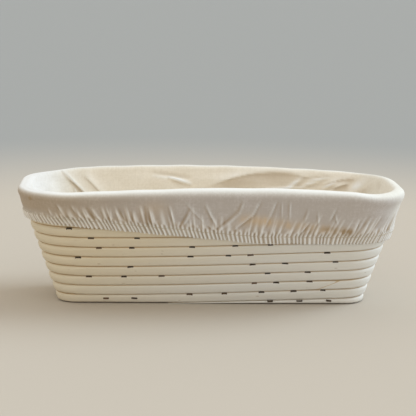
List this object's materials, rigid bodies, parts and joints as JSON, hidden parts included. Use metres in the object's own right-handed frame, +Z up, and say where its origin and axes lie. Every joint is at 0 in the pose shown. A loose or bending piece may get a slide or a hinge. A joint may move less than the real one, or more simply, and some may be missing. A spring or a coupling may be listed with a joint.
{
  "type": "proofing basket",
  "caption": "Long coiled-cane proofing basket with flared walls, stapled courses and a lift-out cloth liner whose elastic hem holds it over the rim.",
  "frame": {"origin": "middle of the basket's footprint, on the surface that it stands on", "axes": "+X along the basket's length, +Z up, and the front with the coil's start faces -Y"},
  "size_m": [0.3018, 0.123, 0.0956],
  "materials": {
    "cane": "bare peeled rattan, satin",
    "rod": "bare peeled rattan, satin",
    "staple": "darkened steel wire",
    "cloth": "plain-woven unbleached cotton",
    "elastic": "woven over rubber",
    "thread": "cotton sewing thread"
  },
  "bodies": {
    "basket": {"floor_rod_1": "rod", "floor_rod_2": "rod", "floor_rod_3": "rod", "floor_rod_4": "rod", "floor_rod_5": "rod", "floor_rod_6": "rod", "wall_cane_1": "cane", "wall_cane_2": "cane", "wall_cane_3": "cane", "wall_cane_4": "cane", "wall_cane_5": "cane", "wall_staples": "staple", "ring_staples": "staple", "floor_staples": "staple"},
    "liner": {"liner_floor": "cloth", "liner_wall": "cloth", "liner_skirt": "cloth", "hem_elastic": "elastic", "hem_thread": "thread", "floor_seam_thread": "thread"}
  },
  "joints": [
    {"name": "liner_lift", "type": "slide", "parent": "basket", "child": "liner", "axis": [0, 0, 1], "range_m": [0, 0.12], "deforming": ["liner_skirt", "hem_elastic", "hem_thread"]}
  ]
}
